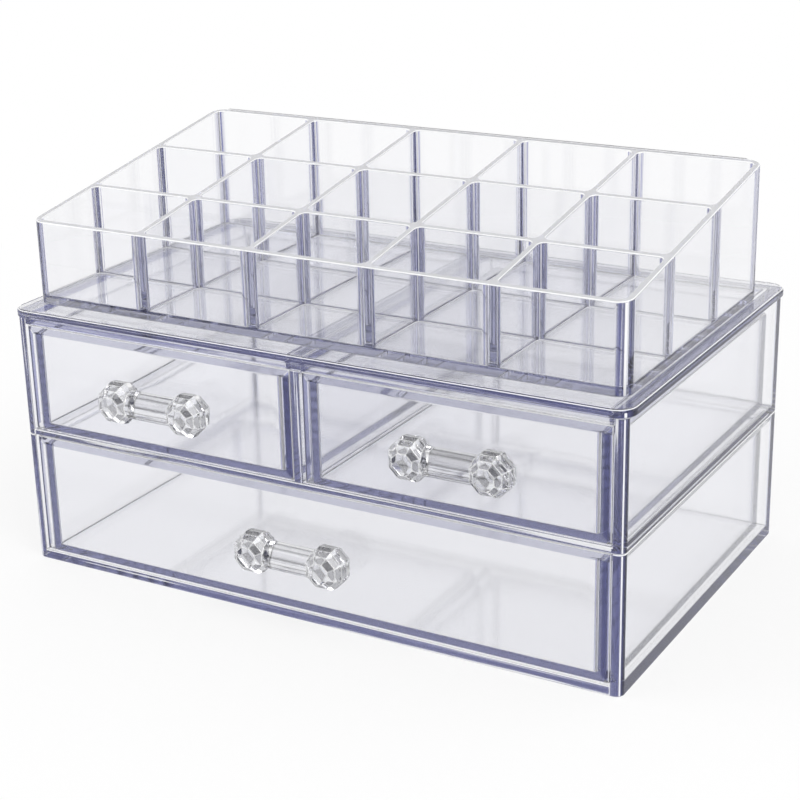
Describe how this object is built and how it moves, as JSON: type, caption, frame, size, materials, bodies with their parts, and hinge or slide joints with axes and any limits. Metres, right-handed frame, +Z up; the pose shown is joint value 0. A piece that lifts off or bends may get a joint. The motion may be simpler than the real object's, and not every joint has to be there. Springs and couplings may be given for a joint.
{
  "type": "make-up organizer with drawers",
  "caption": "Clear tabletop make-up organizer: pull-out drawers in a stacked casing under a flanged top plate that carries a loose, sloping tray of open compartments.",
  "frame": {"origin": "on the standing face, under the middle of the casings' outside width and depth", "axes": "+Z up, +X along the width, to the right as seen from the front; the drawers pull out towards -Y"},
  "size_m": [0.24, 0.1585, 0.147],
  "materials": {
    "clear_casing": "clear, polished, with a faint blue-violet tint in thick edges",
    "clear_drawer": "clear, polished",
    "clear_tray": "clear, polished",
    "clear_handle": "clear, cut facets"
  },
  "bodies": {
    "casing": {"lower_casing": "clear_casing", "upper_casing": "clear_casing", "centre_divider": "clear_casing", "top_plate": "clear_casing"},
    "tray": {"sorting_tray": "clear_tray"},
    "left": {"left_drawer": "clear_drawer", "left_handle": "clear_handle"},
    "right": {"right_drawer": "clear_drawer", "right_handle": "clear_handle"},
    "wide": {"wide_drawer": "clear_drawer", "wide_handle": "clear_handle"}
  },
  "joints": [
    {"name": "left_drawer_slide", "type": "slide", "parent": "casing", "child": "left", "axis": [0, -1, 0], "range_m": [0, 0.105]},
    {"name": "right_drawer_slide", "type": "slide", "parent": "casing", "child": "right", "axis": [0, -1, 0], "range_m": [0, 0.105]},
    {"name": "wide_drawer_slide", "type": "slide", "parent": "casing", "child": "wide", "axis": [0, -1, 0], "range_m": [0, 0.105]},
    {"name": "tray_lift", "type": "slide", "parent": "casing", "child": "tray", "axis": [0, 0, 1], "range_m": [0, 0.06]}
  ]
}
